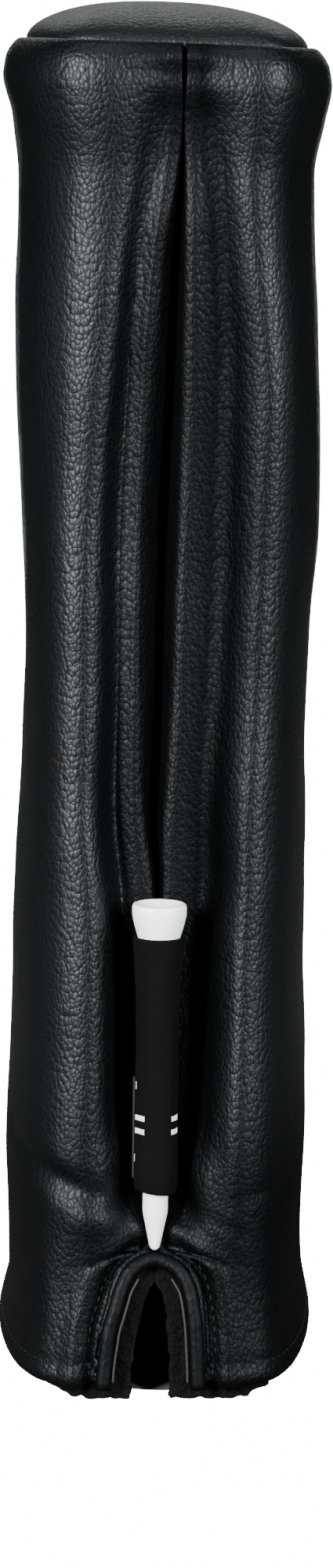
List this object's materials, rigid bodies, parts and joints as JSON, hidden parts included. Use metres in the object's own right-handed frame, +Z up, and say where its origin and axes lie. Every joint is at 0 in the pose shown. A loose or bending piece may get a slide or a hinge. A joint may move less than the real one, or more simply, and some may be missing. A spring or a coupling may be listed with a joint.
{
  "type": "driver head cover",
  "caption": "Tall padded leather head cover for a golf driver, with a round domed top, a folded front seam, a notched mouth, a plush lining and a tee in a knitted sleeve.",
  "frame": {"origin": "middle of the footprint, on the surface that the lining's flat lower edge stands on", "axes": "+Z up from the mouth to the domed top; the seam with the fold, the tee and the notch faces -Y; +X is to the right when looking at the seam"},
  "size_m": [0.0806, 0.1245, 0.3233],
  "materials": {
    "outer_leather_left": "pebbled black synthetic leather, satin",
    "outer_leather_right": "pebbled black synthetic leather, satin",
    "body_foam": "thin foam wadding",
    "body_plush": "black deep-pile plush",
    "crown_leather": "pebbled black synthetic leather, satin",
    "crown_foam": "soft foam",
    "stiffener_board": "thin dark board",
    "crown_plush": "black deep-pile plush",
    "elastic_web": "ribbed black elastic",
    "binding_leather": "smooth rolled black leather",
    "topstitch_thread": "black thread",
    "seam_thread": "black thread",
    "sleeve_knit": "matte black brushed knit",
    "sleeve_seam_thread": "black thread",
    "tee_lacquer": "white lacquer"
  },
  "bodies": {
    "cover": {"left_body_panel": "outer_leather_left", "right_body_panel": "outer_leather_right", "left_padding": "body_foam", "right_padding": "body_foam", "left_lining": "body_plush", "right_lining": "body_plush", "crown_panel": "crown_leather", "crown_foam": "crown_foam", "crown_stiffener": "stiffener_board", "crown_lining": "crown_plush", "neck_elastic": "elastic_web", "notch_binding": "binding_leather", "left_notch_topstitch": "topstitch_thread", "right_notch_topstitch": "topstitch_thread", "hem_topstitch": "topstitch_thread", "front_seam_thread": "seam_thread", "back_seam_thread": "seam_thread", "crown_seam_thread": "seam_thread", "tee_sleeve": "sleeve_knit", "sleeve_thread": "sleeve_seam_thread"},
    "tee": {"tee": "tee_lacquer"}
  },
  "joints": [
    {"name": "tee_slide", "type": "slide", "parent": "cover", "child": "tee", "axis": [0.0145, 0.0139, 0.9998], "range_m": [0, 0.086]}
  ]
}
